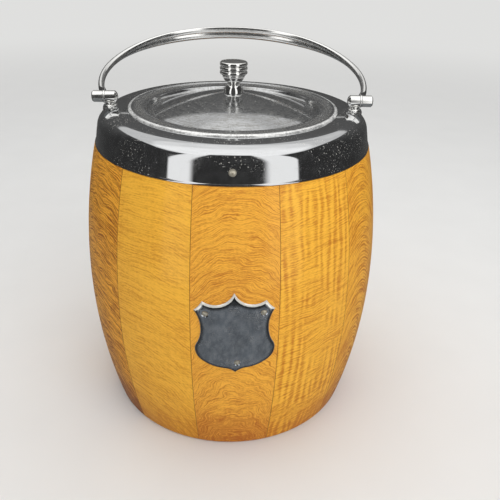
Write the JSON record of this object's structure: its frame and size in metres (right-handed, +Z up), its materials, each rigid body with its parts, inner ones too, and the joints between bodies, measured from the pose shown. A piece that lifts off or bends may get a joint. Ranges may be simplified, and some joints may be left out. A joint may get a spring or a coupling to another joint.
{
  "type": "biscuit jar",
  "caption": "Barrel-shaped wooden biscuit jar with a plated collar, a domed lift-off lid with a turned knob, a swinging bail handle, a bare shield plaque and a glazed inner pot.",
  "frame": {"origin": "centre of the bounding box's footprint, on the surface that the barrel stands on", "axes": "+Z up along the barrel's axis; the shield plaque faces -Y; the bail's axis runs along X"},
  "size_m": [0.142, 0.143, 0.1725],
  "materials": {
    "stave_wood": "honey-coloured hardwood under gloss varnish",
    "board_wood": "plain sealed wood",
    "glaze": "cream glaze",
    "chrome": "bright plate with fine rubbing marks",
    "nickel": "bright plated pins",
    "steel": "plain plated steel"
  },
  "bodies": {
    "barrel": {"stave_01": "stave_wood", "stave_02": "stave_wood", "stave_03": "stave_wood", "stave_04": "stave_wood", "stave_05": "stave_wood", "stave_06": "stave_wood", "stave_07": "stave_wood", "stave_08": "stave_wood", "stave_09": "stave_wood", "stave_10": "stave_wood", "stave_11": "stave_wood", "stave_12": "stave_wood", "base_board": "board_wood", "liner": "glaze", "collar": "chrome", "collar_pins": "nickel", "shield": "chrome", "shield_pins": "nickel", "left_post": "chrome", "right_post": "chrome", "left_post_nut": "steel", "right_post_nut": "steel", "left_hinge_pin": "chrome", "right_hinge_pin": "chrome"},
    "lid": {"lid": "chrome", "lid_flange": "steel", "knob": "chrome", "knob_screw": "steel", "knob_washer": "steel"},
    "bail": {"bail": "chrome"}
  },
  "joints": [
    {"name": "lid_lift", "type": "slide", "parent": "barrel", "child": "lid", "axis": [0, 0, 1], "range_m": [0, 0.1]},
    {"name": "bail_swing", "type": "hinge", "parent": "barrel", "child": "bail", "pos_m": [0, 0, 0.1502], "axis": [1, 0, 0], "range_deg": [-33, 181]}
  ]
}
